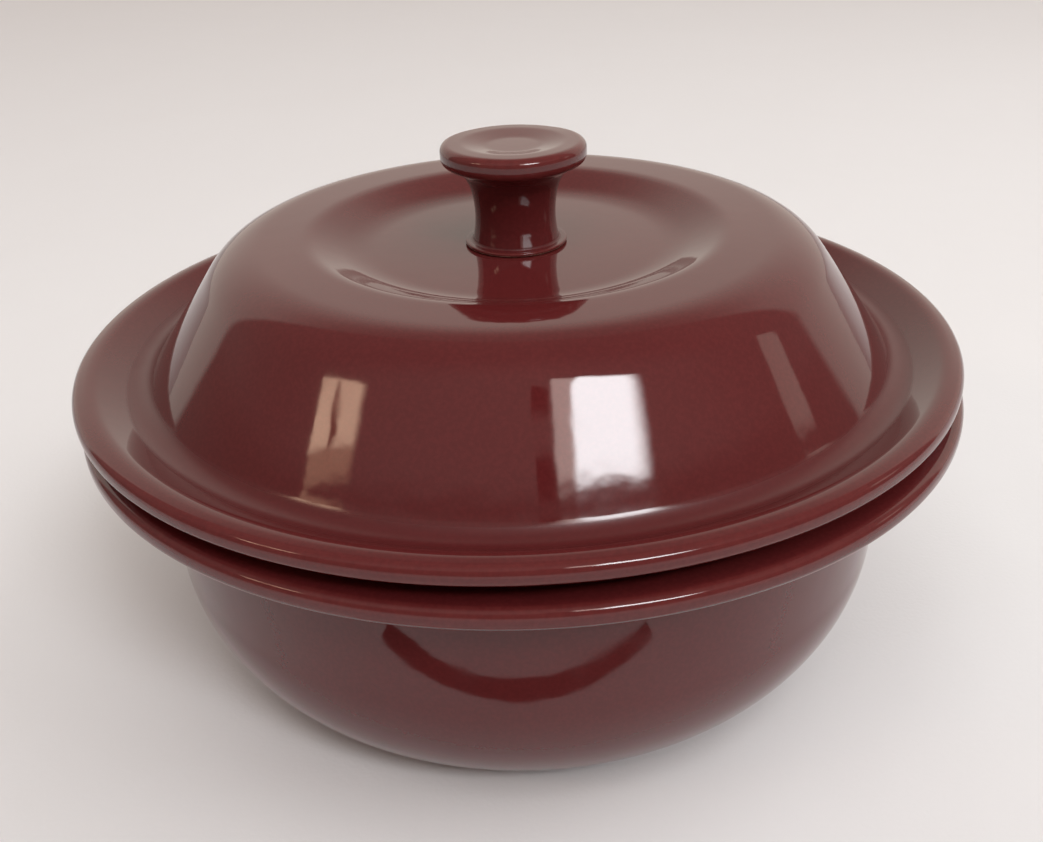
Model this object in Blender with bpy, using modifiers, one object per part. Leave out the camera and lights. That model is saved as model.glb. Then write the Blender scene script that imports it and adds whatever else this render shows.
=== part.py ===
"""Covered casserole dish: a round stoneware dish, its domed lid and the lid's knob.

Metres, +Z up. The origin is the centre of the foot plane, and +Z is the axis that every
piece was turned about. All three pieces are outlines spun once around that axis.

An outline is a list of corners (radius, height, fillet). Straight walls run between the
corners, and an arc of the fillet's radius rounds each corner off.
"""

import math

import bpy

# ---- driving dimensions -------------------------------------------------------------------

CLEARANCE = 0.0003            # gap kept between pieces that touch
RIM_RADIUS = 0.1302           # outer edge of the lid; the dish's is a little wider

# dish
FOOT_OUTER_RADIUS = 0.0825
FOOT_INNER_RADIUS = 0.0740
FOOT_DRAFT = 0.0008           # the ring's sides lean by this much
FOOT_HEIGHT = 0.0028          # outside, up to the body
FOOT_RECESS = 0.0035          # height of the underside above the table, inside the foot ring
DISH_FLOOR_HEIGHT = 0.0100
DISH_FLANGE_HEIGHT = 0.0924   # flat top that the lid rests on
DISH_FLANGE_THICKNESS = 0.0060
FLANGE_UNDER_FALL = 0.0012    # the flange thickens by this much towards the body
DISH_RIM_RADIUS = RIM_RADIUS + 0.0003
DISH_MOUTH_RADIUS = 0.1065
DISH_WALL = 0.0065
BODY_RADIUS = 0.1108          # where the upright wall begins to curl in
BODY_FLARE = 0.0020           # the wall leans out by this much on its way to the flange
BODY_TURN_HEIGHT = 0.0465     # below this height the wall curls in towards the foot
BODY_TURN_RADIUS = 0.0500
BODY_TURN_ANGLE = 58.0        # degrees of that curl before the foot begins

# lid
LID_SEAT_HEIGHT = DISH_FLANGE_HEIGHT + CLEARANCE
LID_WALL = 0.0055
LID_FLANGE_ROOT = (0.1122, 0.0956)   # radius and height of the trough between dome and flange
LID_FLANGE_CREST = (0.1250, 0.1036)  # the flange climbs to here and then turns over
LID_RIM_TOP = 0.1021          # at the outer edge
LID_RIM_THICKNESS = 0.0040
LID_CREST_HEIGHT = 0.1334
LID_SHOULDER_RADIUS = 0.0844  # where the dome's slope, carried on, would meet the crest
LID_SHOULDER_FILLET = 0.0195
LID_WELL_HEIGHT = 0.1280      # floor of the round hollow that the knob stands in
LID_WELL_FLOOR_RADIUS = 0.0470
LID_WELL_LIP_RADIUS = 0.0608
LID_SEAT_OUTER = 0.1195       # the flange's underside is flat inside this radius
LOCATING_RING_OUTER = 0.1040  # ring under the lid that drops inside the dish's mouth
LOCATING_RING_INNER = 0.0985
LOCATING_RING_DEPTH = 0.0060
LOCATING_RING_DRAFT = 0.0008

# knob
KNOB_BASE_HEIGHT = LID_WELL_HEIGHT + CLEARANCE
KNOB_FOOT_RADIUS = 0.0150
KNOB_FOOT_THICKNESS = 0.0010
KNOB_NECK_FOOT_RADIUS = 0.0127
KNOB_NECK_TOP_RADIUS = 0.0140
KNOB_NECK_TOP_DROP = 0.0040   # below the cap's underside
KNOB_WAIST_RADIUS = 0.0111
KNOB_WAIST_RISE = 0.0102      # waist above the knob's base
KNOB_CAP_RADIUS = 0.0211
KNOB_CAP_THICKNESS = 0.0052
KNOB_HEIGHT = 0.0295
KNOB_TOP_DIP = 0.0011         # the cap's top is slightly hollow
KNOB_DIP_FLOOR_RADIUS = 0.0080
KNOB_DIP_EDGE_RADIUS = 0.0150

# fineness of the turned surfaces
TURN_STEPS = 60
KNOB_TURN_STEPS = 36
CHORD_ERROR = 0.00015         # how far an arc's straight steps may leave the true arc
LARGEST_STEP = math.radians(36)
MERGE_DISTANCE = 0.00001


# ---- outlines -----------------------------------------------------------------------------

def unit(start, end):
    """The direction from one point to another, as a unit vector."""
    run, rise = end[0] - start[0], end[1] - start[1]
    length = math.hypot(run, rise)
    return run / length, rise / length


def arc_steps(radius, angle):
    """How many straight steps an arc needs to stay within CHORD_ERROR."""
    finest = 2.0 * math.acos(1.0 - min(CHORD_ERROR / radius, 1.0))
    return max(2, math.ceil(abs(angle) / min(finest, LARGEST_STEP)))


def arc(centre, radius, start, end):
    """Points of an arc between two angles in radians, both ends included."""
    steps = arc_steps(radius, end - start)
    angles = [start + (end - start) * step / steps for step in range(steps + 1)]
    return [(centre[0] + radius * math.cos(a), centre[1] + radius * math.sin(a)) for a in angles]


def fillet(before, corner, after, radius):
    """The arc that is tangent to both walls of a corner."""
    arriving = unit(before, corner)
    leaving = unit(corner, after)
    turn = math.atan2(arriving[0] * leaving[1] - arriving[1] * leaving[0],
                      arriving[0] * leaving[0] + arriving[1] * leaving[1])
    if radius == 0.0 or abs(turn) < 1e-6:
        return [corner[:2]]
    side = math.copysign(1.0, turn)
    tangent = radius * math.tan(abs(turn) / 2.0)
    touch = (corner[0] - arriving[0] * tangent, corner[1] - arriving[1] * tangent)
    centre = (touch[0] - side * arriving[1] * radius, touch[1] + side * arriving[0] * radius)
    start = math.atan2(touch[1] - centre[1], touch[0] - centre[0])
    return arc(centre, radius, start, start + turn)


def outline(corners):
    """Round every corner between the first and the last by its own fillet."""
    points = [corners[0][:2]]
    for before, corner, after in zip(corners, corners[1:], corners[2:]):
        points += fillet(before, corner, after, corner[2])
    points.append(corners[-1][:2])
    return points


def inset(corners, distance):
    """Corners of the wall's other face, a distance to the right of the outline.

    Each inner corner slides along its mitre, and its fillet grows or shrinks by the distance.
    """
    moved = []
    for before, corner, after in zip(corners, corners[1:], corners[2:]):
        arriving = unit(before, corner)
        leaving = unit(corner, after)
        across = arriving[0] * leaving[1] - arriving[1] * leaving[0]
        along = arriving[0] * leaving[0] + arriving[1] * leaving[1]
        slide = distance * across / (1.0 + along)
        radius = corner[0] + arriving[1] * distance + arriving[0] * slide
        height = corner[1] - arriving[0] * distance + arriving[1] * slide
        moved.append((radius, height, corner[2] + math.copysign(distance, across)))
    return moved


def turned(name, points, origin_height, steps, material, collection):
    """Spin an outline around the Z axis; the object's origin is on that axis."""
    mesh = bpy.data.meshes.new(name)
    vertices = [(radius, 0.0, height - origin_height) for radius, height in points]
    edges = [(index, index + 1) for index in range(len(vertices) - 1)]
    mesh.from_pydata(vertices, edges, [])
    mesh.materials.append(material)
    piece = bpy.data.objects.new(name, mesh)
    collection.objects.link(piece)
    piece.location = (0.0, 0.0, origin_height)
    screw = piece.modifiers.new("Turn", "SCREW")
    screw.axis = "Z"
    screw.angle = math.tau
    screw.steps = steps
    screw.render_steps = steps
    screw.use_merge_vertices = True
    screw.merge_threshold = MERGE_DISTANCE
    screw.use_smooth_shade = True
    return piece


def glaze(name, colour, roughness, coat):
    """A glossy fired glaze over stoneware."""
    material = bpy.data.materials.new(name)
    material.use_nodes = True
    shader = material.node_tree.nodes["Principled BSDF"]
    shader.inputs["Base Color"].default_value = (*colour, 1.0)
    shader.inputs["Roughness"].default_value = roughness
    shader.inputs["Metallic"].default_value = 0.0
    shader.inputs["Coat Weight"].default_value = coat
    return material


# ---- the three pieces ---------------------------------------------------------------------

def dish_outline():
    """Inside floor, inside wall, flange, body, foot ring and underside."""
    flange_under = DISH_FLANGE_HEIGHT - DISH_FLANGE_THICKNESS
    inside = [
        (0.0, DISH_FLOOR_HEIGHT, 0.0),
        (BODY_RADIUS - DISH_WALL, DISH_FLOOR_HEIGHT, 0.030),
        (DISH_MOUTH_RADIUS, DISH_FLANGE_HEIGHT, 0.0020),
        (DISH_RIM_RADIUS, DISH_FLANGE_HEIGHT, 0.0026),
        (DISH_RIM_RADIUS, flange_under, 0.0026),
        (BODY_RADIUS + BODY_FLARE, flange_under - FLANGE_UNDER_FALL, 0.0050),
        (BODY_RADIUS, BODY_TURN_HEIGHT, 0.0),
    ]
    turn_centre = (BODY_RADIUS - BODY_TURN_RADIUS, BODY_TURN_HEIGHT)
    curl = arc(turn_centre, BODY_TURN_RADIUS, 0.0, -math.radians(BODY_TURN_ANGLE))
    foot = [
        (*curl[-1], 0.0),
        (FOOT_OUTER_RADIUS + FOOT_DRAFT, FOOT_HEIGHT, 0.0008),
        (FOOT_OUTER_RADIUS, 0.0, 0.0010),
        (FOOT_INNER_RADIUS, 0.0, 0.0010),
        (FOOT_INNER_RADIUS - FOOT_DRAFT, FOOT_RECESS, 0.0010),
        (0.0, FOOT_RECESS, 0.0),
    ]
    return outline(inside)[:-1] + curl[:-1] + outline(foot)


def lid_outline():
    """Well, crest, dome, trough, flange, seat, locating ring and the inside of the dome."""
    dome = [
        (0.0, LID_WELL_HEIGHT, 0.0),
        (LID_WELL_FLOOR_RADIUS, LID_WELL_HEIGHT, 0.025),
        (LID_WELL_LIP_RADIUS, LID_CREST_HEIGHT, 0.012),
        (LID_SHOULDER_RADIUS, LID_CREST_HEIGHT, LID_SHOULDER_FILLET),
        (*LID_FLANGE_ROOT, 0.0060),
    ]
    rim_under = LID_RIM_TOP - LID_RIM_THICKNESS
    ring_bottom = LID_SEAT_HEIGHT - LOCATING_RING_DEPTH
    flange = [
        (*LID_FLANGE_CREST, 0.0050),
        (RIM_RADIUS, LID_RIM_TOP, 0.0030),
        (RIM_RADIUS, rim_under, 0.0016),
        (LID_SEAT_OUTER, LID_SEAT_HEIGHT, 0.0040),
        (LOCATING_RING_OUTER + LOCATING_RING_DRAFT, LID_SEAT_HEIGHT, 0.0010),
        (LOCATING_RING_OUTER, ring_bottom, 0.0020),
        (LOCATING_RING_INNER, ring_bottom, 0.0020),
    ]
    ceiling = inset(dome, LID_WALL)
    shoulder = ceiling[-1]
    slope = unit(dome[-2], dome[-1])
    reach = (LOCATING_RING_INNER - shoulder[0]) / slope[0]
    inner_root = (LOCATING_RING_INNER, shoulder[1] + slope[1] * reach, 0.004)
    inside = [inner_root] + ceiling[::-1] + [(0.0, LID_WELL_HEIGHT - LID_WALL, 0.0)]
    return outline(dome + flange + inside)


def knob_outline():
    """Hollowed top, cap, waisted neck and the thin spread foot."""
    top = KNOB_BASE_HEIGHT + KNOB_HEIGHT
    cap_under = top - KNOB_CAP_THICKNESS
    foot_top = KNOB_BASE_HEIGHT + KNOB_FOOT_THICKNESS
    corners = [
        (0.0, top - KNOB_TOP_DIP, 0.0),
        (KNOB_DIP_FLOOR_RADIUS, top - KNOB_TOP_DIP, 0.012),
        (KNOB_DIP_EDGE_RADIUS, top, 0.010),
        (KNOB_CAP_RADIUS, top, 0.0024),
        (KNOB_CAP_RADIUS, cap_under, 0.0024),
        (KNOB_NECK_TOP_RADIUS, cap_under - KNOB_NECK_TOP_DROP, 0.008),
        (KNOB_WAIST_RADIUS, KNOB_BASE_HEIGHT + KNOB_WAIST_RISE, 0.030),
        (KNOB_NECK_FOOT_RADIUS, foot_top, 0.0006),
        (KNOB_FOOT_RADIUS, foot_top, 0.0004),
        (KNOB_FOOT_RADIUS, KNOB_BASE_HEIGHT, 0.0003),
        (0.0, KNOB_BASE_HEIGHT, 0.0),
    ]
    return outline(corners)


def build():
    """Clear the scene and make the dish, the lid and the knob that rides on the lid."""
    for existing in list(bpy.data.objects):
        bpy.data.objects.remove(existing)
    parts = bpy.data.collections.new("covered_casserole")
    bpy.context.scene.collection.children.link(parts)

    burgundy = (0.115, 0.017, 0.020)
    turned("dish", dish_outline(), 0.0, TURN_STEPS, glaze("dish_glaze", burgundy, 0.10, 0.5), parts)
    lid = turned("lid", lid_outline(), LID_SEAT_HEIGHT, TURN_STEPS,
                 glaze("lid_glaze", burgundy, 0.10, 0.5), parts)
    knob = turned("lid_knob", knob_outline(), KNOB_BASE_HEIGHT, KNOB_TURN_STEPS,
                  glaze("knob_glaze", burgundy, 0.12, 0.5), parts)
    knob.parent = lid
    knob.location = (0.0, 0.0, KNOB_BASE_HEIGHT - LID_SEAT_HEIGHT)


build()
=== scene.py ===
# %% [markdown]
# # A covered casserole dish
#
# This lesson finishes a round stoneware casserole: a deep dish, a domed lid and the knob
# that a cook lifts it by. All three were turned on a wheel, coated in one burgundy glaze
# and fired, so the whole object is smooth, glossy and round.
#
# The frame below holds the plain solids. They give every size and place. We add what a
# potter would recognise: soft glazed corners, the slight unevenness of handwork, glaze that
# thins on edges and pools in hollows, pinholes, and bare clay where the pieces stand.

# %% Load the frame and keep its size
import math

import bpy
import numpy as np
from mathutils import Matrix, Vector


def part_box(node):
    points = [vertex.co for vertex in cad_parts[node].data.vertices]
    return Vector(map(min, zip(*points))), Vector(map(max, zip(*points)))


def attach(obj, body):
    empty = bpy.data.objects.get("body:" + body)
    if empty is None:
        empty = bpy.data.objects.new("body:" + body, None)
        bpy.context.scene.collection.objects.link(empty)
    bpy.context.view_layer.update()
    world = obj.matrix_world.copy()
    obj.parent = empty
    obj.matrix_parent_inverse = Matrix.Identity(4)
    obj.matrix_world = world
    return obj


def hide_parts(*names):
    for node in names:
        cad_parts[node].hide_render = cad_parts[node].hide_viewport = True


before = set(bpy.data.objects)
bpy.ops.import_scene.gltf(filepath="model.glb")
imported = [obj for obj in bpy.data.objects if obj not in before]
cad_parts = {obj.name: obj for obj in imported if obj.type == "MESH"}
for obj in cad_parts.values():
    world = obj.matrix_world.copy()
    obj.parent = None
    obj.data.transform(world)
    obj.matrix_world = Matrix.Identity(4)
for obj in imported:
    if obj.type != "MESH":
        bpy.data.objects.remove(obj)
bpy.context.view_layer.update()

print("nodes:", sorted(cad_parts))

# %% [markdown]
# ## Where things are
#
# A node's box says how far it reaches. For a turned piece that is almost a drawing: the
# largest x is its rim's radius, and the lowest and highest z are its two ends. Everything
# that can be read from the boxes is read from them, so the looks follow the solids.

# %% Read the main sizes off the three boxes
MM = 0.001
_, (dish_rim, _, flange_top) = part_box("dish")
(_, _, ring_bottom), (lid_rim, _, crest_top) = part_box("lid")
(_, _, knob_base), (cap_radius, _, knob_top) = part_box("lid_knob")

print(f"dish rim {dish_rim / MM:.1f} mm, flange top at {flange_top / MM:.1f} mm")
print(f"lid rim {lid_rim / MM:.1f} mm, crest at {crest_top / MM:.1f} mm, "
      f"knob to {knob_top / MM:.1f} mm")

# %% [markdown]
# ## An outline with round corners
#
# A potter's outline is a few straight or gently sloping walls, joined by curves. We write it
# the same way: a list of corners, each with the radius of the curve that rounds it. One could
# draw the curve with Bezier handles, but a radius is what a caliper measures.
#
# At a corner the two walls make an angle. A circle that touches both walls has its centre on
# the line that halves the angle, and it touches each wall at radius times the tangent of half
# the turn from the corner.

# %% Round the corners of an outline
ARC_STEP = math.radians(2.0)


def rounded(corners):
    """Points of a corner list (radius, height, fillet), in mm, with each corner made an arc.

    The arc's angle runs evenly from the normal of the wall before to that of the wall after,
    and a point is the arc's centre plus the fillet's radius along that normal.
    """
    corners = np.array(corners, float)
    place, fillet = corners[:, :2], corners[:, 2]
    walls = np.diff(place, axis=0)
    walls /= np.linalg.norm(walls, axis=1)[:, None]
    runs = [place[:1]]
    for corner, radius, arriving, leaving in zip(place[1:-1], fillet[1:-1], walls, walls[1:]):
        turn = math.atan2(arriving[0] * leaving[1] - arriving[1] * leaving[0], arriving @ leaving)
        side = math.copysign(1.0, turn)
        normal = side * np.array([-arriving[1], arriving[0]])
        centre = corner - arriving * radius * math.tan(abs(turn) / 2) + normal * radius
        start = math.atan2(-normal[1], -normal[0])
        angles = np.linspace(start, start + turn, 2 + int(abs(turn) / ARC_STEP))
        runs.append(centre + radius * np.column_stack([np.cos(angles), np.sin(angles)]))
    runs.append(place[-1:])
    return np.concatenate(runs)


sample = rounded([(0, 0, 0), (10, 0, 3), (10, 10, 0)])
print(f"a 3 mm corner became {len(sample) - 2} points")

# %% [markdown]
# ## Glaze softens everything
#
# Molten glaze runs off sharp corners and fills hollow ones, so a fired curve has no place
# where straight suddenly turns to round. The eye sees that in the reflections, which flow
# without a kink. Averaging the outline with a bell curve along its own length does the same.
#
# Past the two ends, which lie on the axis, the outline goes on as its own mirror image. That
# keeps the middle of the floor flat instead of pulling it to a point.

# %% Soften an outline and choose its points
FINE_STEP = 0.1      # mm, spacing while the outline is worked on


def even(points, step):
    """The same outline at equal steps: each coordinate interpolated over the arc length."""
    travelled = np.concatenate([[0.0], np.cumsum(np.linalg.norm(np.diff(points, axis=0), axis=1))])
    where = np.linspace(0.0, travelled[-1], 1 + int(travelled[-1] / step))
    return np.column_stack([np.interp(where, travelled, points[:, k]) for k in (0, 1)])


def softened(points, spread):
    """Every point becomes the bell-weighted mean of its neighbours, spread mm wide."""
    points = even(points, FINE_STEP)
    reach = int(4 * spread / FINE_STEP)
    bell = np.exp(-0.5 * (np.arange(-reach, reach + 1) * FINE_STEP / spread) ** 2)
    bell /= bell.sum()
    mirror = np.array([-1.0, 1.0])
    longer = np.concatenate([
        points[reach:0:-1] * mirror, points, points[-2:-reach - 2:-1] * mirror])
    soft = np.column_stack([np.convolve(longer[:, k], bell, "valid") for k in (0, 1)])
    soft[[0, -1], 0] = 0.0
    return soft


def bending(points):
    """Turn per mm along the outline: positive where the solid bulges, negative in a hollow."""
    along = np.gradient(points, axis=0)
    heading = np.unwrap(np.arctan2(along[:, 1], along[:, 0]))
    return -np.gradient(heading) / np.maximum(np.linalg.norm(along, axis=1), 1e-9)


def chosen(points, longest, turn_step):
    """Pick points so that none is more than `longest` mm or `turn_step` radians from the next.

    The density wanted is 1 / longest plus bending / turn_step. Its running total is cut into
    equal parts, which puts many points round a tight lip and few on a flat floor.
    """
    step = np.linalg.norm(np.diff(points, axis=0), axis=1)
    wanted = 1.0 / longest + np.abs(bending(points)) / turn_step
    total = np.concatenate([[0.0], np.cumsum(0.5 * (wanted[1:] + wanted[:-1]) * step)])
    marks = np.linspace(0.0, total[-1], 1 + int(math.ceil(total[-1])))
    return np.column_stack([np.interp(marks, total, points[:, k]) for k in (0, 1)])


# %% [markdown]
# ## The dish
#
# From the middle of the inside floor the outline runs out along the floor, up the wall, over
# the mouth, out along the flat flange, round the rim, back under the flange and down the
# body. The body's lower half is one big curve, cut off by the foot ring before it would have
# turned flat. All sizes here are in mm.

# %% Draw the dish's outline
DISH_WALL = 6.5
DISH_FLOOR = 10.0
DISH_MOUTH = 106.5
BODY_RADIUS = 110.8
BODY_FLARE = 2.0             # the wall leans out by this much on its way up to the flange
BODY_TURN_HEIGHT = 46.5
BODY_TURN_RADIUS = 50.0
BODY_TURN = math.radians(58.0)
FLANGE_THICKNESS = 6.0
FLANGE_FALL = 1.2            # the flange's underside falls by this much from rim to wall
FOOT_OUTER, FOOT_INNER = 82.5, 74.0
FOOT_DRAFT = 0.8
FOOT_HEIGHT = 2.8
UNDERSIDE = 3.5
DISH_SOFTNESS = 0.35
RIM_SPACING = (2.2, 0.11)    # longest step in mm and in radians of turn

flange_mm = flange_top / MM
dish_rim_mm = dish_rim / MM
turn_angles = np.linspace(0.0, -BODY_TURN, 30)
body_curl = np.column_stack([
    BODY_RADIUS - BODY_TURN_RADIUS + BODY_TURN_RADIUS * np.cos(turn_angles),
    BODY_TURN_HEIGHT + BODY_TURN_RADIUS * np.sin(turn_angles)])

dish_inside = rounded([
    (0, DISH_FLOOR, 0),
    (BODY_RADIUS - DISH_WALL, DISH_FLOOR, 30),
    (DISH_MOUTH, flange_mm, 2.0),
    (dish_rim_mm, flange_mm, 2.6),
    (dish_rim_mm, flange_mm - FLANGE_THICKNESS, 2.6),
    (BODY_RADIUS + BODY_FLARE, flange_mm - FLANGE_THICKNESS - FLANGE_FALL, 5.0),
    (*body_curl[0], 0)])
dish_foot = rounded([
    (*body_curl[-1], 0),
    (FOOT_OUTER + FOOT_DRAFT, FOOT_HEIGHT, 0.8),
    (FOOT_OUTER, 0, 1.0),
    (FOOT_INNER, 0, 1.0),
    (FOOT_INNER - FOOT_DRAFT, UNDERSIDE, 1.0),
    (0, UNDERSIDE, 0)])
dish_corners = np.concatenate([dish_inside, body_curl[1:-1], dish_foot])
dish_outline = chosen(softened(dish_corners, DISH_SOFTNESS), *RIM_SPACING)
print(f"dish outline: {len(dish_outline)} points")

# %% [markdown]
# ## The lid
#
# The lid's top is a shallow round well for the knob, a crest, a broad shoulder that rolls into
# a steep cone, and a flange that climbs out of a narrow trough and turns over at its edge.
# Underneath there is a flat seat, and a ring that drops inside the dish's mouth so that the
# lid can't slide off.
#
# The inside of the dome follows the outside at the wall's thickness. Moving a corner in along
# the line that halves it keeps the wall even, and its fillet grows or shrinks by the same
# amount, so the two arcs share a centre.

# %% Draw the lid's outline
LID_WALL = 5.5
WELL_FLOOR = 128.0
WELL_FLOOR_RADIUS, WELL_LIP_RADIUS = 47.0, 60.8
SHOULDER = 84.4
SHOULDER_FILLET = 19.5
FLANGE_ROOT = (112.2, 95.6)
FLANGE_CREST = (125.0, 103.6)
LID_RIM_TOP = 102.1
LID_RIM_THICKNESS = 4.0
SEAT_OUTER = 119.5
RING_OUTER, RING_INNER = 104.0, 98.5
RING_DRAFT = 0.8
SEAT_ABOVE_RING = 6.0
LID_SOFTNESS = 0.15


def inner_corners(corners, wall):
    """Corners moved in by the wall, along each mitre; their fillets keep the same centres."""
    corners = np.array(corners, float)
    walls = np.diff(corners[:, :2], axis=0)
    walls /= np.linalg.norm(walls, axis=1)[:, None]
    arriving, leaving = walls[:-1], walls[1:]
    across = arriving[:, 0] * leaving[:, 1] - arriving[:, 1] * leaving[:, 0]
    along = (arriving * leaving).sum(axis=1)
    slide = (wall * across / (1.0 + along))[:, None]
    inward = np.column_stack([arriving[:, 1], -arriving[:, 0]])
    moved = corners[1:-1, :2] + inward * wall + arriving * slide
    return np.column_stack([moved, corners[1:-1, 2] + np.copysign(wall, across)])


crest_mm = crest_top / MM
lid_rim_mm = lid_rim / MM
ring_mm = ring_bottom / MM
seat_mm = ring_mm + SEAT_ABOVE_RING
lid_dome = [
    (0, WELL_FLOOR, 0),
    (WELL_FLOOR_RADIUS, WELL_FLOOR, 25),
    (WELL_LIP_RADIUS, crest_mm, 12),
    (SHOULDER, crest_mm, SHOULDER_FILLET),
    (*FLANGE_ROOT, 6.0)]
lid_ceiling = inner_corners(lid_dome, LID_WALL)
cone = np.subtract(FLANGE_ROOT, (SHOULDER, crest_mm))
inner_root = lid_ceiling[-1, :2] + cone * (RING_INNER - lid_ceiling[-1, 0]) / cone[0]
lid_corners = lid_dome + [
    (*FLANGE_CREST, 5.0),
    (lid_rim_mm, LID_RIM_TOP, 3.0),
    (lid_rim_mm, LID_RIM_TOP - LID_RIM_THICKNESS, 1.6),
    (SEAT_OUTER, seat_mm, 4.0),
    (RING_OUTER + RING_DRAFT, seat_mm, 1.0),
    (RING_OUTER, ring_mm, 2.0),
    (RING_INNER, ring_mm, 2.0),
    (*inner_root, 4.0),
    *lid_ceiling[::-1].tolist(),
    (0, WELL_FLOOR - LID_WALL, 0)]
lid_outline = chosen(softened(rounded(lid_corners), LID_SOFTNESS), *RIM_SPACING)
print(f"lid outline: {len(lid_outline)} points")

# %% [markdown]
# ## The knob
#
# The knob is a small mushroom: a cap with a thumb's hollow in its top, a waisted neck, and a
# thin foot that spreads over the lid where it was stuck down with wet clay.

# %% Draw the knob's outline
HOLLOW_DEPTH = 1.1
HOLLOW_FLOOR_RADIUS, HOLLOW_RADIUS = 8.0, 15.0
CAP_THICKNESS = 5.2
NECK_TOP_DROP = 4.0          # from the cap's underside
NECK_TOP_RADIUS = 14.0
WAIST_RISE = 10.2            # from the foot's underside
WAIST_RADIUS = 11.1
NECK_FOOT_RADIUS = 12.7
STUCK_FOOT_RADIUS = 15.0
STUCK_FOOT_THICKNESS = 1.0
KNOB_SOFTNESS = 0.15
KNOB_SPACING = (0.9, 0.13)

top_mm, base_mm, cap_mm = knob_top / MM, knob_base / MM, cap_radius / MM
knob_corners = [
    (0, top_mm - HOLLOW_DEPTH, 0),
    (HOLLOW_FLOOR_RADIUS, top_mm - HOLLOW_DEPTH, 12),
    (HOLLOW_RADIUS, top_mm, 10),
    (cap_mm, top_mm, 2.4),
    (cap_mm, top_mm - CAP_THICKNESS, 2.4),
    (NECK_TOP_RADIUS, top_mm - CAP_THICKNESS - NECK_TOP_DROP, 8),
    (WAIST_RADIUS, base_mm + WAIST_RISE, 30),
    (NECK_FOOT_RADIUS, base_mm + STUCK_FOOT_THICKNESS, 0.6),
    (STUCK_FOOT_RADIUS, base_mm + STUCK_FOOT_THICKNESS, 0.4),
    (STUCK_FOOT_RADIUS, base_mm, 0.3),
    (0, base_mm, 0)]
knob_outline = chosen(softened(rounded(knob_corners), KNOB_SOFTNESS), *KNOB_SPACING)
print(f"knob outline: {len(knob_outline)} points")

# %% [markdown]
# ## Spin it, but not perfectly
#
# A spun outline is perfectly round, and a fired pot never is. Clay relaxes into a faint oval,
# rims rise and dip a little, and a wet sponge leaves shallow dents. These are tenths of a
# millimetre or less, too small to see as shape, but a glossy surface shows them at once: a
# window's reflection gets a wavering edge. They belong in the mesh, because they are real shape.
#
# The lid's flange was also pulled a little to one side of its dome when it was thrown, and
# its near side came out of the kiln a little higher than the rest.

# %% Turn an outline into a surface with a potter's unevenness
OVAL = 0.12 * MM
RIM_WAVE = 0.14 * MM
DENT_DEPTH = 0.004 * MM
DENT_COUNT = 14
DENT_WIDTHS = (0.018, 0.045)         # m, from one dent to the next
LID_DRIFT = (-1.0 * MM, 1.1 * MM)    # aside, and up at the near side


def unevenness(x, y, z, angle, reach, seed):
    """How far each point moves outwards and upwards.

    Outwards: a two-lobed and a three-lobed cosine of the angle, growing with the radius, plus
    shallow dents, which are a sum of cosines of position along random directions. Upwards:
    two and five lobes that grow as the fourth power of the radius, so only rims feel them.
    """
    rng = np.random.default_rng(seed)
    phase = rng.uniform(0.0, math.tau, 4)
    share = np.hypot(x, y) / reach
    out = OVAL * share * (np.cos(2 * angle + phase[0]) + 0.5 * np.cos(3 * angle + phase[1]))
    lobes = np.cos(2 * angle + phase[2]) + 0.4 * np.cos(5 * angle + phase[3])
    up = RIM_WAVE * share ** 4 * lobes
    waves = rng.normal(size=(DENT_COUNT, 3))
    lengths = rng.uniform(*DENT_WIDTHS, DENT_COUNT)
    waves *= (math.tau / lengths / np.linalg.norm(waves, axis=1))[:, None]
    shift = rng.uniform(0.0, math.tau, DENT_COUNT)
    dents = np.cos(np.stack([x, y, z], axis=-1) @ waves.T + shift).sum(axis=-1)
    return out + DENT_DEPTH * share * dents, up


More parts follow.
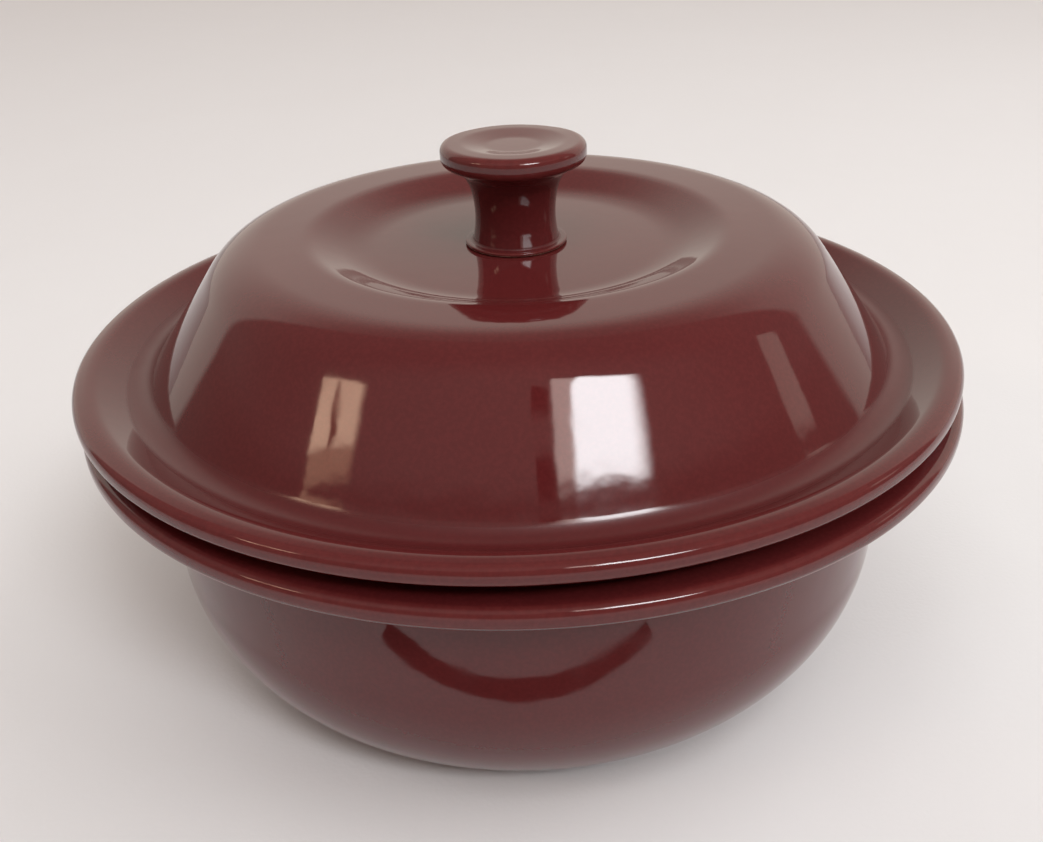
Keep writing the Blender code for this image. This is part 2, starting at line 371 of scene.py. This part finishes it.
def turned(name, outline, spokes, seed, masks, drift=(0.0, 0.0)):
    """Spin an outline (mm) round Z: x = r cos(angle), y = r sin(angle), z = height.

    The two end points lie on the axis, so each is one vertex with a fan of triangles, and all
    other points are rings joined by four-sided faces. Each mask is one value per outline
    point, kept on the mesh for the materials. The drift moves the rim along x and lifts its
    near side; both fall off as the eighth power of the radius, so the middle stays put.
    """
    radius, height = (outline * MM).T
    rings = len(outline) - 2
    angle = np.linspace(0.0, math.tau, spokes, endpoint=False)[None, :]
    r, z = radius[1:-1, None], height[1:-1, None] + 0.0 * angle
    out, up = unevenness(r * np.cos(angle), r * np.sin(angle), z, angle, radius.max(), seed)
    aside, lift = np.multiply.outer(drift, (r / radius.max()) ** 8)
    up += lift * np.maximum(-np.sin(angle), 0.0) ** 2
    wall = np.stack(
        [(r + out) * np.cos(angle) + aside, (r + out) * np.sin(angle), z + up], axis=-1)
    points = np.concatenate([
        [[0.0, 0.0, height[0]]], wall.reshape(-1, 3), [[0.0, 0.0, height[-1]]]])

    ring = 1 + spokes * np.arange(rings)[:, None]
    this, after = np.arange(spokes), np.roll(np.arange(spokes), -1)
    quads = np.stack(
        [ring[:-1] + this, ring[1:] + this, ring[1:] + after, ring[:-1] + after], axis=-1)
    first = np.stack([0 * this, 1 + this, 1 + after], axis=-1)
    last = np.stack([0 * this + len(points) - 1, ring[-1] + after, ring[-1] + this], axis=-1)
    corners = np.concatenate([first.ravel(), quads.ravel(), last.ravel()])
    counts = np.concatenate([np.full(spokes, 3), np.full(quads.size // 4, 4), np.full(spokes, 3)])

    mesh = bpy.data.meshes.new(name)
    mesh.vertices.add(len(points))
    mesh.vertices.foreach_set("co", points.ravel())
    mesh.loops.add(len(corners))
    mesh.loops.foreach_set("vertex_index", corners)
    mesh.polygons.add(len(counts))
    mesh.polygons.foreach_set("loop_start", np.cumsum(counts) - counts)
    mesh.update(calc_edges=True)
    mesh.validate()
    mesh.shade_smooth()
    for mask, values in masks.items():
        whole = np.concatenate([values[:1], np.repeat(values[1:-1], spokes), values[-1:]])
        mesh.attributes.new(mask, "FLOAT", "POINT").data.foreach_set("value", whole)
    piece = bpy.data.objects.new(name, mesh)
    bpy.context.scene.collection.objects.link(piece)
    return piece


# %% [markdown]
# ## Where the glaze is thin, thick or wiped away
#
# Glaze pulls thin over a lip, where the clay's warmth shows through, and gathers in a hollow,
# where it looks darker. Both follow the outline's bending, so they are worked out from it.
#
# Where a pot stands in the kiln it must be bare, or it would weld itself to the shelf: the
# dish's foot ring, and the seat and ring under the lid.

# %% Work out the masks along each outline
THIN_BENDING = (0.12, 0.50)      # radians per mm, where the mask starts and is full
THICK_BENDING = (0.02, 0.20)


def ramp(value, low, high):
    """0 below low, 1 above high, and an S-shaped cubic between them."""
    t = np.clip((value - low) / (high - low), 0.0, 1.0)
    return t * t * (3.0 - 2.0 * t)


def glaze_masks(outline, bare):
    """Thin where the outline bulges tightly, thick where it is hollow, bare where told."""
    bend = bending(outline)
    return {"thin": ramp(bend, *THIN_BENDING), "thick": ramp(-bend, *THICK_BENDING), "bare": bare}


dish_r, dish_z = dish_outline.T
foot_bare = ramp(-dish_z, -1.6, -0.4) * (dish_r > FOOT_INNER - 4) * (dish_r < FOOT_OUTER + 4)

lid_r, lid_z = lid_outline.T
on_seat = (lid_r > RING_OUTER - 1) * (lid_r < SEAT_OUTER - 1)
under_seat = ramp(-lid_z, -seat_mm - 0.5, -seat_mm - 0.1) * on_seat
ring_bare = ramp(-lid_z, -ring_mm - 2.2, -ring_mm - 0.9) * (lid_r < RING_OUTER + 2)
lid_bare = np.maximum(under_seat, ring_bare)

knob_bare = ramp(-knob_outline[:, 1], -base_mm - 0.3, -base_mm - 0.1)
print(f"bare rings: dish {int((foot_bare > 0.5).sum())}, lid {int((lid_bare > 0.5).sum())}")

# %% Make the three pieces and hang them on the frame
RIM_SPOKES, KNOB_SPOKES = 288, 144

dish = turned("glazed_dish", dish_outline, RIM_SPOKES, seed=11,
              masks=glaze_masks(dish_outline, foot_bare))
lid = turned("glazed_lid", lid_outline, RIM_SPOKES, seed=23,
             masks=glaze_masks(lid_outline, lid_bare), drift=LID_DRIFT)
knob = turned("glazed_knob", knob_outline, KNOB_SPOKES, seed=37,
              masks=glaze_masks(knob_outline, knob_bare))

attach(dish, "dish")
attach(lid, "lid")
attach(knob, "lid")
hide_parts("dish")
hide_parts("lid")
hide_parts("lid_knob")
for piece in (dish, lid, knob):
    print(f"{piece.name}: {len(piece.data.polygons)} faces")

# %% [markdown]
# ## Helpers for shader nodes
#
# A material is a graph. Two short helpers keep the graphs readable: one adds a node and fills
# in its sockets, where a tuple of a node and an output name becomes a link, and one starts a
# node group with named inputs and outputs.

# %% Add nodes and node groups with one call each
SOCKETS = {"float": "NodeSocketFloat", "colour": "NodeSocketColor"}


def fill(tree, node, values):
    """Link or set each named socket."""
    for socket, value in values.items():
        if isinstance(value, tuple) and isinstance(value[0], bpy.types.Node):
            tree.links.new(value[0].outputs[value[1]], node.inputs[socket])
        else:
            node.inputs[socket].default_value = value
    return node


def add(tree, kind, settings=None, **values):
    """A new node; settings are its own properties, the rest are its sockets."""
    node = tree.nodes.new("ShaderNode" + kind)
    for name, value in (settings or {}).items():
        setattr(node, name, value)
    return fill(tree, node, {name.replace("_", " "): value for name, value in values.items()})


def maths(tree, operation, first, second=0.0, third=0.0):
    """One arithmetic node."""
    node = add(tree, "Math", {"operation": operation})
    return fill(tree, node, {0: first, 1: second, 2: third})


def blended(tree, share, low, high, mode="MIX"):
    """Mix two colours."""
    node = add(tree, "Mix", {"data_type": "RGBA", "blend_type": mode})
    return fill(tree, node, {0: share, 6: low, 7: high})


def stretched(tree, value, low, high, to_low=0.0, to_high=1.0):
    """Map a range of values to another, softly at both ends."""
    node = add(tree, "MapRange", {"interpolation_type": "SMOOTHSTEP"})
    return fill(tree, node, {"Value": value, "From Min": low, "From Max": high,
                             "To Min": to_low, "To Max": to_high})


def group(name, inputs, outputs):
    """An empty node group; returns its tree, its input node and its output node."""
    tree = bpy.data.node_groups.new(name, "ShaderNodeTree")
    for label, (kind, value) in inputs.items():
        socket = tree.interface.new_socket(label, in_out="INPUT", socket_type=SOCKETS[kind])
        socket.default_value = value
    for label, kind in outputs.items():
        tree.interface.new_socket(label, in_out="OUTPUT", socket_type=SOCKETS[kind])
    return tree, tree.nodes.new("NodeGroupInput"), tree.nodes.new("NodeGroupOutput")


def use(tree, node_group, **values):
    """Place a node group in a material."""
    node = tree.nodes.new("ShaderNodeGroup")
    node.node_tree = node_group
    return fill(tree, node, {name.replace("_", " "): value for name, value in values.items()})


# %% [markdown]
# ## The glaze's colour
#
# Burgundy glaze is coloured glass over pale clay. Its depth changes slowly over a hand's
# width, where more or less of it was poured, and it is finely speckled, because the pigment
# never melts quite evenly. Thin glaze is browner, and thick glaze is a darker red.

# %% Build the glaze colour group
CLEAR = (1.0, 1.0, 1.0, 1.0)


def make_glaze_colour():
    """Cloud and speckle shift the colour; the thin and thick masks pull it to its extremes."""
    tree, given, result = group(
        "glaze_colour",
        {"Body": ("colour", CLEAR), "Thin": ("colour", CLEAR), "Thick": ("colour", CLEAR),
         "Thinness": ("float", 0.0), "Thickness": ("float", 0.0)},
        {"Colour": "colour"})
    place = (add(tree, "TexCoord"), "Object")
    cloud = add(tree, "TexNoise", Vector=place, Scale=22.0, Detail=3.0, Roughness=0.55)
    speckle = add(tree, "TexNoise", Vector=place, Scale=900.0, Detail=2.0, Roughness=0.6)
    breakup = add(tree, "TexNoise", Vector=place, Scale=260.0, Detail=3.0, Roughness=0.6)
    uneven = stretched(tree, (cloud, "Fac"), 0.35, 0.68, 0.0, 0.12)
    base = blended(tree, (uneven, "Result"), (given, "Body"), (given, "Thin"))
    fine = stretched(tree, (speckle, "Fac"), 0.35, 0.70, 0.93, 1.07)
    fine_colour = add(tree, "CombineColor", Red=(fine, "Result"), Green=(fine, "Result"),
                      Blue=(fine, "Result"))
    spotted = blended(tree, 1.0, (base, 2), (fine_colour, "Color"), "MULTIPLY")
    ragged = stretched(tree, (breakup, "Fac"), 0.30, 0.70, 0.15, 0.50)
    lip = maths(tree, "MULTIPLY", (given, "Thinness"), (ragged, "Result"))
    edged = blended(tree, (lip, "Value"), (spotted, 2), (given, "Thin"))
    pooled = maths(tree, "MULTIPLY", (given, "Thickness"), 0.25)
    final = blended(tree, (pooled, "Value"), (edged, 2), (given, "Thick"))
    fill(tree, result, {"Colour": (final, 2)})
    return tree


glaze_colour = make_glaze_colour()
print("glaze colour group:", len(glaze_colour.nodes), "nodes")

# %% [markdown]
# ## The glaze's skin
#
# Up close a glossy glaze is not flat: it has a faint orange-peel ripple, a few pinholes where
# gas escaped in the kiln, and a haze of fine scuffs from years of washing up. The ripple and
# the pinholes are heights for a Bump node. The haze only makes the gloss a little less sharp.

# %% Build the glaze skin group
def make_glaze_skin():
    """Height is ripple minus pits; a pit is the middle of a Voronoi cell that was picked."""
    tree, given, result = group(
        "glaze_skin",
        {"Pits": ("float", 1.0), "Haze": ("float", 1.0)},
        {"Height": "float", "Haze": "float"})
    place = (add(tree, "TexCoord"), "Object")
    peel = add(tree, "TexNoise", Vector=place, Scale=170.0, Detail=1.5, Roughness=0.45)
    cells = add(tree, "TexVoronoi", Vector=place, Scale=75.0, Randomness=1.0)
    pick = add(tree, "SeparateColor", Color=(cells, "Color"))
    picked = stretched(tree, (pick, "Red"), 0.86, 0.88)
    size = stretched(tree, (pick, "Green"), 0.0, 1.0, 0.035, 0.10)
    near = maths(tree, "DIVIDE", (cells, "Distance"), (size, "Result"))
    dip = stretched(tree, (near, "Value"), 0.35, 1.0, 1.0, 0.0)
    pit = maths(tree, "MULTIPLY", (dip, "Result"), (picked, "Result"))
    pit = maths(tree, "MULTIPLY", (pit, "Value"), (given, "Pits"))
    height = maths(tree, "MULTIPLY_ADD", (pit, "Value"), -1.0, (peel, "Fac"))
    wiped = add(tree, "TexNoise", Vector=place, Scale=28.0, Detail=5.0, Roughness=0.65)
    hazy = stretched(tree, (wiped, "Fac"), 0.42, 0.75)
    haze = maths(tree, "MULTIPLY", (hazy, "Result"), (given, "Haze"))
    fill(tree, result, {"Height": (height, "Value"), "Haze": (haze, "Value")})
    return tree


glaze_skin = make_glaze_skin()
print("glaze skin group:", len(glaze_skin.nodes), "nodes")

# %% [markdown]
# ## Bare stoneware
#
# Where the glaze was wiped off, the clay is buff, matt and gritty, with dark iron specks. The
# wiped line is never a clean circle, so the mask is roughened before it is used.

# %% Build the bare clay group
def make_bare_clay():
    """Two noises give sandy colour and grit; a Voronoi gives iron specks."""
    tree, given, result = group(
        "bare_clay",
        {"Clay": ("colour", CLEAR), "Iron": ("colour", CLEAR), "Bare": ("float", 0.0)},
        {"Colour": "colour", "Height": "float", "Bare": "float"})
    place = (add(tree, "TexCoord"), "Object")
    sand = add(tree, "TexNoise", Vector=place, Scale=420.0, Detail=4.0, Roughness=0.7)
    grit = add(tree, "TexNoise", Vector=place, Scale=1500.0, Detail=2.0, Roughness=0.6)
    cells = add(tree, "TexVoronoi", Vector=place, Scale=520.0)
    shade = stretched(tree, (sand, "Fac"), 0.3, 0.7, 0.72, 1.12)
    shade_colour = add(tree, "CombineColor", Red=(shade, "Result"), Green=(shade, "Result"),
                       Blue=(shade, "Result"))
    sandy = blended(tree, 1.0, (given, "Clay"), (shade_colour, "Color"), "MULTIPLY")
    speck = stretched(tree, (cells, "Distance"), 0.10, 0.22, 0.8, 0.0)
    spotted = blended(tree, (speck, "Result"), (sandy, 2), (given, "Iron"))
    ragged = stretched(tree, (sand, "Fac"), 0.2, 0.8, -0.35, 0.35)
    moved = maths(tree, "ADD", (given, "Bare"), (ragged, "Result"))
    bare = stretched(tree, (moved, "Value"), 0.42, 0.58)
    gate = stretched(tree, (given, "Bare"), 0.02, 0.12)
    bare = maths(tree, "MULTIPLY", (bare, "Result"), (gate, "Result"))
    fill(tree, result, {
        "Colour": (spotted, 2), "Height": (grit, "Fac"), "Bare": (bare, "Value")})
    return tree


bare_clay = make_bare_clay()
print("bare clay group:", len(bare_clay.nodes), "nodes")

# %% [markdown]
# ## One burgundy glaze for three pieces
#
# The pieces were dipped in the same bucket, so one function makes all three materials. They
# differ only in how deep their pinholes are and how worn their gloss is. The shader is a
# plain Principled BSDF: glaze is a glass-like coat with an index of refraction near 1.5, which
# reflects a twenty-fifth of the light head-on and most of it at a grazing angle. Where the
# glaze pooled it cooled slowly and grew fine crystals, so hollows are satin instead of glossy.

# %% Make and give out the materials
BURGUNDY = (0.090, 0.0125, 0.0130, 1.0)
BURGUNDY_THIN = (0.130, 0.024, 0.021, 1.0)
BURGUNDY_THICK = (0.055, 0.0075, 0.0080, 1.0)
BUFF_CLAY = (0.500, 0.370, 0.250, 1.0)
IRON_SPECK = (0.090, 0.050, 0.030, 1.0)
GLOSSY, SCUFFED, CLAY_ROUGHNESS = 0.045, 0.12, 0.85
POOLED_DULLNESS = 0.30
IOR = 1.5


def glazed_stoneware(name, pits, haze):
    """Glaze everywhere except where the mask says that the clay was wiped bare."""
    material = bpy.data.materials.new(name)
    material.use_nodes = True
    tree = material.node_tree
    shader = tree.nodes["Principled BSDF"]
    thin, thick, bare = (
        (add(tree, "Attribute", {"attribute_name": mask}), "Fac")
        for mask in ("thin", "thick", "bare"))
    colour = use(tree, glaze_colour, Body=BURGUNDY, Thin=BURGUNDY_THIN, Thick=BURGUNDY_THICK,
                 Thinness=thin, Thickness=thick)
    skin = use(tree, glaze_skin, Pits=pits, Haze=haze)
    clay = use(tree, bare_clay, Clay=BUFF_CLAY, Iron=IRON_SPECK, Bare=bare)
    surface = blended(tree, (clay, "Bare"), (colour, "Colour"), (clay, "Colour"))
    gloss = stretched(tree, (skin, "Haze"), 0.0, 1.0, GLOSSY, SCUFFED)
    roughness = stretched(tree, (clay, "Bare"), 0.0, 1.0)
    roughness = fill(tree, add(tree, "Mix", {"data_type": "FLOAT"}),
                     {0: (roughness, "Result"), 2: (gloss, "Result"), 3: CLAY_ROUGHNESS})
    satin = maths(tree, "MULTIPLY_ADD", thick, POOLED_DULLNESS, (roughness, 0))
    skin_bump = add(tree, "Bump", Strength=0.05, Distance=0.0004, Height=(skin, "Height"))
    grit = maths(tree, "MULTIPLY", (clay, "Height"), (clay, "Bare"))
    bump = add(tree, "Bump", Strength=0.6, Distance=0.0003, Height=(grit, "Value"),
               Normal=(skin_bump, "Normal"))
    fill(tree, shader, {"Base Color": (surface, 2), "Roughness": (satin, "Value"),
                        "Normal": (bump, "Normal"), "IOR": IOR})
    return material


dish.data.materials.append(glazed_stoneware("dish_glaze", pits=1.0, haze=1.0))
lid.data.materials.append(glazed_stoneware("lid_glaze", pits=0.6, haze=0.6))
knob.data.materials.append(glazed_stoneware("knob_glaze", pits=0.4, haze=0.9))
print("materials:", [m.name for m in bpy.data.materials if m.name.endswith("glaze")])

# %% [markdown]
# ## The studio
#
# Gloss is only as good as what it reflects. The dish stands on a pale cloth that rises behind
# it and to both sides. In front is a darker room with one window, a small warm lamp to the
# left and a pale doorway to the right. The floor is a real plane, with a nearly black strip
# lying on it in front of the dish: painted shade, which the glaze shows as a dark band in its
# reflection of the floor. Everything else is far away, so it is painted on the world.

# %% Show colours plainly and lay the floor
bpy.context.scene.view_settings.view_transform = "Standard"
FLOOR_HALF = 4.0
CLOTH_GREY = (0.755, 0.765, 0.765, 1.0)

floor_mesh = bpy.data.meshes.new("floor")
floor_mesh.from_pydata(
    [(x * FLOOR_HALF, y * FLOOR_HALF, 0.0) for x, y in ((-1, -1), (1, -1), (1, 1), (-1, 1))],
    [], [(0, 1, 2, 3)])
floor = bpy.data.objects.new("floor", floor_mesh)
bpy.context.scene.collection.objects.link(floor)

cloth = bpy.data.materials.new("pale_cloth")
cloth.use_nodes = True
tree = cloth.node_tree
place = (add(tree, "TexCoord"), "Object")
crease = add(tree, "TexNoise", Vector=place, Scale=5.0, Detail=3.0, Roughness=0.5)
weave = add(tree, "TexNoise", Vector=place, Scale=700.0, Detail=1.0)
folds = add(tree, "Bump", Strength=0.25, Distance=0.02, Height=(crease, "Fac"))
threads = add(tree, "Bump", Strength=0.15, Distance=0.0004, Height=(weave, "Fac"),
              Normal=(folds, "Normal"))
fill(tree, tree.nodes["Principled BSDF"], {
    "Base Color": CLOTH_GREY, "Roughness": 0.95, "Specular IOR Level": 0.1,
    "Normal": (threads, "Normal")})
floor.data.materials.append(cloth)
print("floor:", 2 * FLOOR_HALF, "m wide")

# %% Lay a dark strip in front, below the camera's view
# The camera doesn't see the strip itself, but it can see the shadow under it. The view from
# the front stops short of that; a view from behind shows it as a black bar on the cloth.
# The strip is painted shade: a nearly black sheet that puts a dark band into the glaze's
# reflection of the floor in front.
STRIP_MIDDLE = (-0.008, -0.1585, 0.0006)
STRIP_HALF = (0.080, 0.0042)
STRIP_TURN = math.radians(-3.0)
NEARLY_BLACK = (0.03, 0.03, 0.03, 1.0)

strip_mesh = bpy.data.meshes.new("strip")
turn = np.array([[math.cos(STRIP_TURN), -math.sin(STRIP_TURN)],
                 [math.sin(STRIP_TURN), math.cos(STRIP_TURN)]])
flat = (np.array([(-1, -1), (1, -1), (1, 1), (-1, 1)]) * STRIP_HALF) @ turn.T
strip_mesh.from_pydata(np.column_stack([flat, np.zeros(4)]) + STRIP_MIDDLE, [], [(0, 1, 2, 3)])
strip = bpy.data.objects.new("strip", strip_mesh)
bpy.context.scene.collection.objects.link(strip)
strip.visible_camera = False
# The strip's material is the painted shade, nearly black and matt.
painted_shade_sheet = bpy.data.materials.new("painted_shade_sheet")
painted_shade_sheet.use_nodes = True
fill(painted_shade_sheet.node_tree, painted_shade_sheet.node_tree.nodes["Principled BSDF"], {
    "Base Color": NEARLY_BLACK, "Roughness": 0.9})
strip_mesh.materials.append(painted_shade_sheet)
print("strip:", [round(v, 3) for v in STRIP_MIDDLE])

# %% [markdown]
# The world's colour depends only on the direction looked in. The cloth fills every direction
# less than about 65 degrees from straight behind, which is a limit on the direction's y. The
# room in front is brighter above a sloping line, and less so towards its sides.
#
# A window or a lamp is a patch with straight sides. A straight side seen from the dish is a
# plane through the dish, so a direction is inside the patch when it lies on the inner side of
# all the planes. Each plane's normal is the cross product of the directions of two
# neighbouring corners. Letting each side fade over a small angle gives the soft edge of a
# curtained window.

# %% Paint the cloth, the room, the window and the lamps on the world
CLOTH_LIMIT = 0.42
CLOTH_TILT = 0.06
CLOTH_SOFTNESS = 0.03
CLOTH_COLOUR = (0.88, 0.81, 0.72, 1.0)
CLOTH_HIGH = (0.42, 0.36, 0.32, 1.0)
CLOTH_FADING = (0.55, 0.85)      # heights of the direction, where the cloth turns darker
SEEN_COLOUR = (0.86, 0.82, 0.77, 1.0)
ROOM_LOW = (0.24, 0.19, 0.17, 1.0)
ROOM_HIGH = (0.60, 0.46, 0.42, 1.0)
ROOM_LINE = 0.35
ROOM_LINE_SLOPE = 0.396
ROOM_LINE_SOFTNESS = 0.02
ROOM_SIDES_DARKER = 0.75
ROOM_FRONT = -0.65               # the direction's y that counts as straight in front


def toward(azimuth, elevation):
    """The direction at an azimuth clockwise from +Y and an elevation, both in degrees."""
    a, e = math.radians(azimuth), math.radians(elevation)
    return Vector((math.sin(a) * math.cos(e), math.cos(a) * math.cos(e), math.sin(e)))


def patch(tree, looking, corners, softness):
    """1 inside the patch whose corners are (azimuth, elevation), fading to 0 at its sides.

    Each side's softness is an angle in radians. The inner side of a plane is the one that
    the middle of the corners is on.
    """
    corners = [toward(*corner) for corner in corners]
    middle = sum(corners, Vector())
    inside = 1.0
    for first, second, soft in zip(corners, corners[1:] + corners[:1], softness):
        normal = first.cross(second).normalized()
        normal *= math.copysign(1.0, normal.dot(middle))
        height = add(tree, "VectorMath", {"operation": "DOT_PRODUCT"})
        fill(tree, height, {0: looking, 1: normal})
        share = stretched(tree, (height, "Value"), -soft / 2, soft / 2)
        product = maths(tree, "MULTIPLY", inside, (share, "Result"))
        inside = (product, "Value")
    return inside


world = bpy.data.worlds.new("studio")
bpy.context.scene.world = world
world.use_nodes = True
tree = world.node_tree
looking = (add(tree, "TexCoord"), "Generated")
direction = add(tree, "SeparateXYZ", Vector=looking)

tilted = maths(tree, "MULTIPLY_ADD", (direction, "X"), CLOTH_TILT, (direction, "Y"))
curtain = stretched(tree, (tilted, "Value"),
                    CLOTH_LIMIT - CLOTH_SOFTNESS, CLOTH_LIMIT + CLOTH_SOFTNESS)
level = maths(tree, "MULTIPLY_ADD", (direction, "Y"), ROOM_LINE_SLOPE, (direction, "Z"))
upper = stretched(tree, (level, "Value"),
                  ROOM_LINE - ROOM_LINE_SOFTNESS, ROOM_LINE + ROOM_LINE_SOFTNESS)
frontal = stretched(tree, (direction, "Y"), ROOM_FRONT, 0.0, 1.0, 1.0 - ROOM_SIDES_DARKER)
bright_wall = maths(tree, "MULTIPLY", (upper, "Result"), (frontal, "Result"))
shown = blended(tree, (bright_wall, "Value"), ROOM_LOW, ROOM_HIGH)
fading = stretched(tree, (direction, "Z"), *CLOTH_FADING)
cloth_colour = blended(tree, (fading, "Result"), CLOTH_COLOUR, CLOTH_HIGH)
shown = blended(tree, (curtain, "Result"), (shown, 2), (cloth_colour, 2))

SHARP = (0.01,) * 4
DARK = (0.0, 0.0, 0.0, 1.0)
PATCHES = (      # name, corners, softness of the side after each corner, colour
    ("window", ((167, 52), (169, 40.8), (140, 36.7), (134.5, 41.4)),
     (0.02, 0.012, 0.09, 0.05), (6.0, 4.8, 4.4, 1.0)),
    ("window_bright", ((156, 50.6), (163, 40.5), (140.2, 36.7), (134.7, 41.4)),
     (0.03, 0.012, 0.10, 0.05), (21.0, 21.0, 21.5, 1.0)),
    ("window_bar_high", ((176.1, 47.5), (176.8, 44.5), (170.3, 44.3), (169.0, 46.0)),
     SHARP, DARK),
    ("window_bar_low", ((176, 42.7), (175.8, 40.5), (168, 40.1), (170, 42.4)),
     SHARP, DARK),
    ("lamp_shade", ((-104.6, 31.1), (-108.6, 28.5), (-121.9, 33.8), (-119.5, 36.8)),
     (0.01, 0.01, 0.05, 0.01), (8.0, 5.4, 3.8, 1.0)),
    ("lamp_foot", ((-108.6, 28.5), (-111.0, 27.7), (-123.0, 32.5), (-121.9, 33.8)),
     (0.01, 0.01, 0.05, 0.01), (3.0, 1.8, 1.2, 1.0)),
    ("lamp_gap", ((-109.7, 32.8), (-113.7, 30.8), (-115.7, 32.1), (-110.8, 33.3)),
     SHARP, (0.5, 0.3, 0.2, 1.0)),
    ("doorway", ((85.5, 26.2), (91.0, 19.2), (83.7, 15.8), (79.6, 19.7)),
     (0.02,) * 4, (1.4, 1.15, 1.0, 1.0)),
)
for label, corners, softness, colour in PATCHES:
    shown = blended(tree, patch(tree, looking, corners, softness), (shown, 2), colour)
seen = add(tree, "LightPath")
shown = blended(tree, (seen, "Is Camera Ray"), (shown, 2), SEEN_COLOUR)
fill(tree, tree.nodes["Background"], {"Color": (shown, 2), "Strength": 1.0})
print("painted on the world:", [label for label, *_ in PATCHES])

# %% [markdown]
# The painted window is small, so the cloth also needs wide soft lights, one from the right and
# one from the front, to look as bright as cloth in daylight. A glaze would show them as two
# more windows, so they are hidden from reflections, the way a lighting assistant keeps a lamp
# out of the picture.

# %% Add the soft lights
SOFT_DISTANCE = 2.0
SOFT_SIZE = 1.5
SOFT_COLOUR = (0.97, 0.985, 1.0)


def soft_light(name, azimuth, elevation, power):
    """A square light that faces the dish and that no reflection shows."""
    data = bpy.data.lights.new(name, "AREA")
    data.size = SOFT_SIZE
    data.energy = power
    data.color = SOFT_COLOUR
    light = bpy.data.objects.new(name, data)
    light.location = toward(azimuth, elevation) * SOFT_DISTANCE
    light.rotation_euler = toward(azimuth, elevation).to_track_quat("Z", "Y").to_euler()
    light.visible_camera = False
    light.visible_glossy = False
    bpy.context.scene.collection.objects.link(light)


soft_light("soft_right", 98, 48, 14.0)
soft_light("soft_front", -175, 66, 13.0)

# %% [markdown]
# ## The camera
#
# The camera stands close, a little above the knob, and looks down at the dish. A close camera
# makes the near rim much larger than the far one, so its distance matters as much as its
# angle. It also leans very slightly, as a camera held by hand does. A camera starts out looking
# straight down, so it is first rolled about its own view, then tipped up, then moved away.

# %% Place the camera
CAMERA_PLACE = Vector((-0.0004, -0.3127, 0.2376))
LOOKS_DOWN = math.radians(28.63)
LEANS = math.radians(-2.02)
LENS = 37.97

camera_data = bpy.data.cameras.new("camera")
camera_data.sensor_width = 36.0
camera_data.lens = LENS
camera = bpy.data.objects.new("camera", camera_data)
camera.matrix_world = (
    Matrix.Translation(CAMERA_PLACE)
    @ Matrix.Rotation(math.radians(90) - LOOKS_DOWN, 4, "X")
    @ Matrix.Rotation(LEANS, 4, "Z"))
bpy.context.scene.collection.objects.link(camera)
bpy.context.scene.camera = camera
print("camera", tuple(round(v, 3) for v in camera.location))
